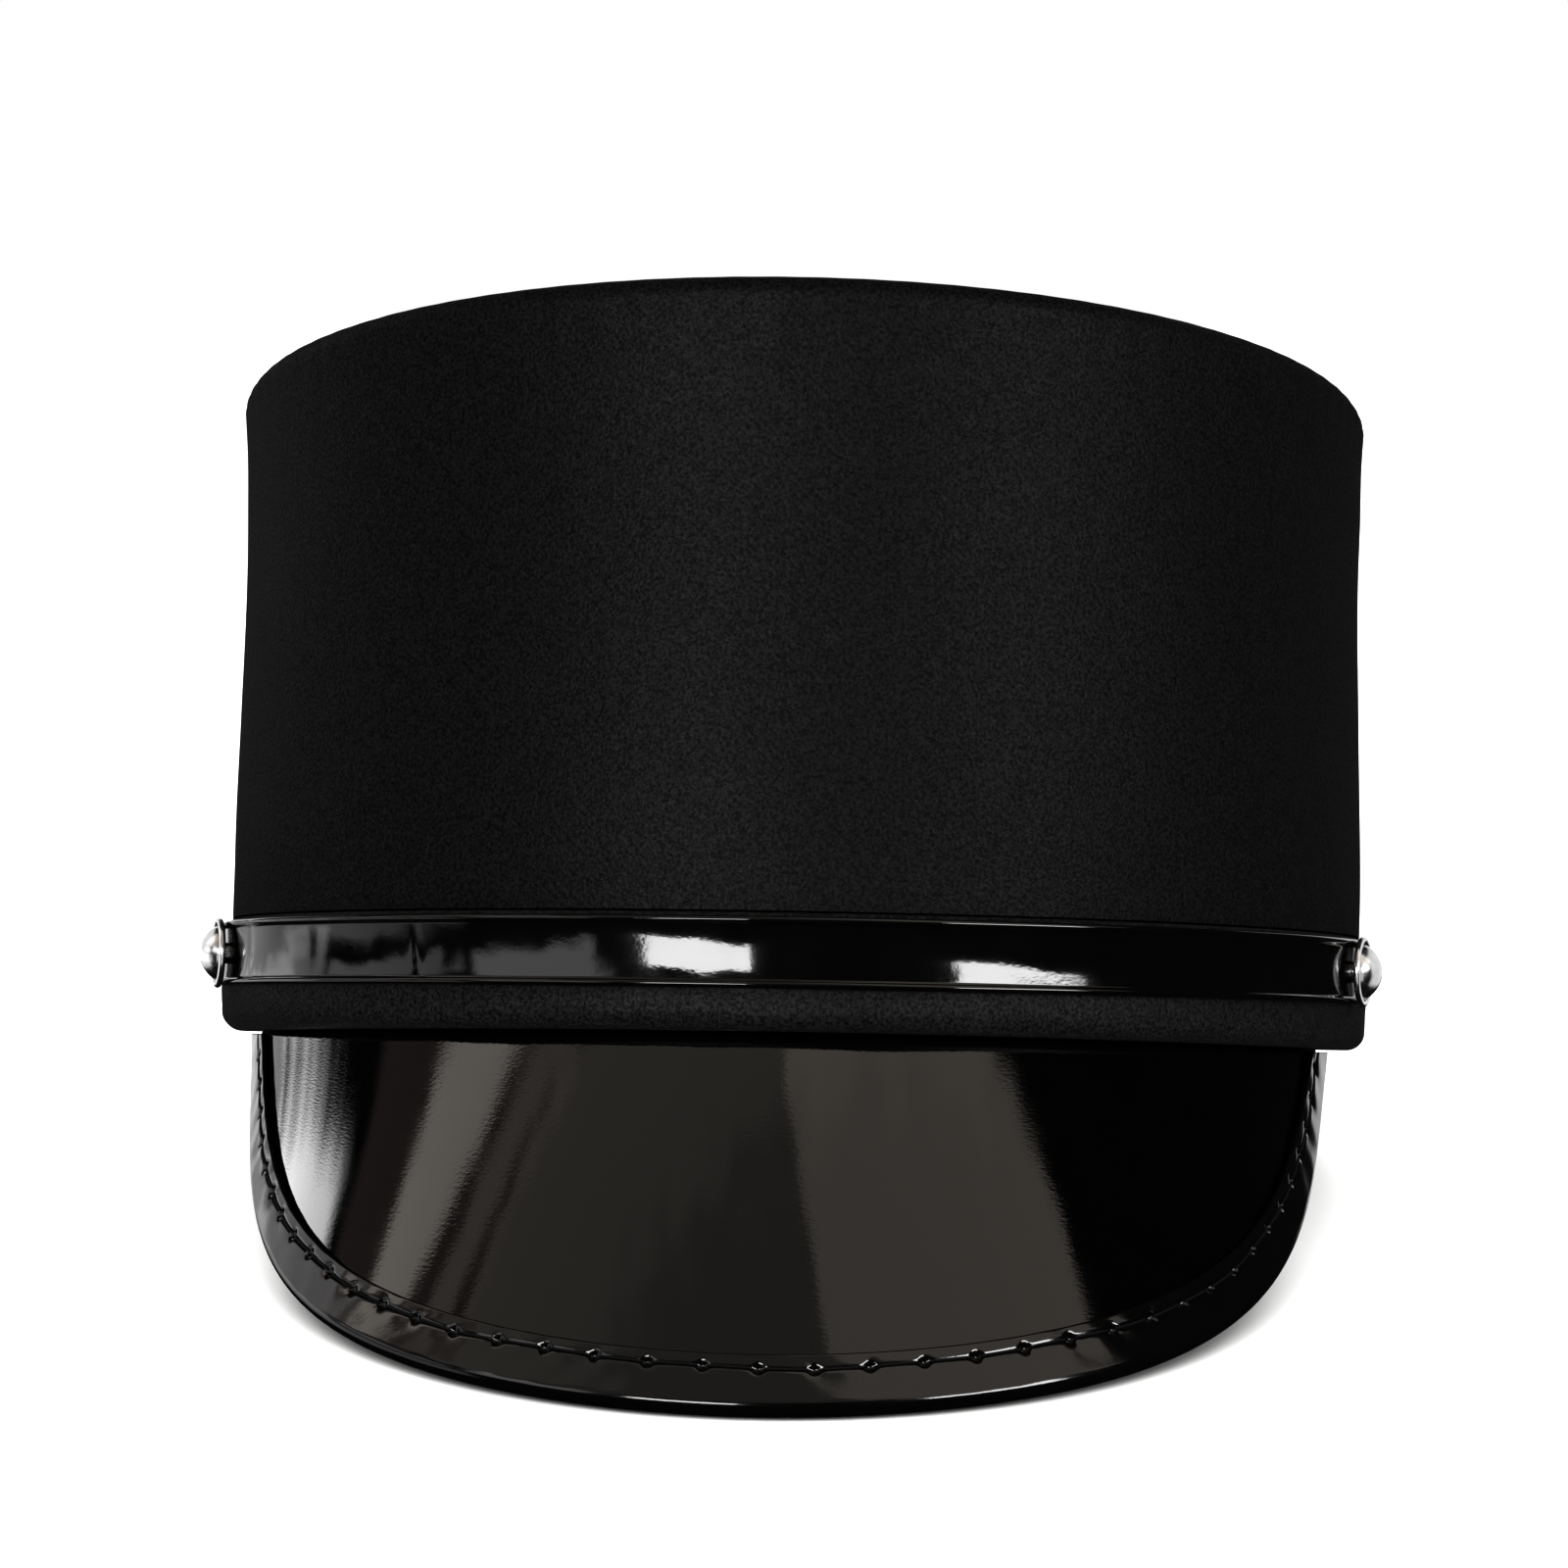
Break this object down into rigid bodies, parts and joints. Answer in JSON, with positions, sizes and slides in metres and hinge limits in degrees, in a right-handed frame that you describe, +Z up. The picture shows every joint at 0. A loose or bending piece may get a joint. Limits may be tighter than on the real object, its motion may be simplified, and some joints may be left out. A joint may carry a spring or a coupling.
{
  "type": "train conductor cap",
  "caption": "Cloth cap with a tall oval crown, padded headband, glossy front strap between domed buttons, and a steep bound visor.",
  "frame": {"origin": "on the surface the cap rests on, under the middle of its bounding box", "axes": "+Z up, the visor points along -Y and the cap is longest along Y, the wearer's left is at +X"},
  "size_m": [0.177, 0.2546, 0.1411],
  "materials": {
    "crown_cloth": "matte black twill",
    "band_cloth": "matte black twill, padded",
    "patent_strap": "glossy black patent with raised edge lines",
    "button_metal": "polished silver",
    "visor_patent": "mirror-like black patent",
    "binding_patent": "soft glossy black patent, stitched"
  },
  "bodies": {
    "root": {"crown_side": "crown_cloth", "crown_top": "crown_cloth", "headband": "band_cloth", "strap": "patent_strap", "button_left": "button_metal", "button_right": "button_metal", "visor": "visor_patent", "visor_binding": "binding_patent"}
  },
  "joints": []
}
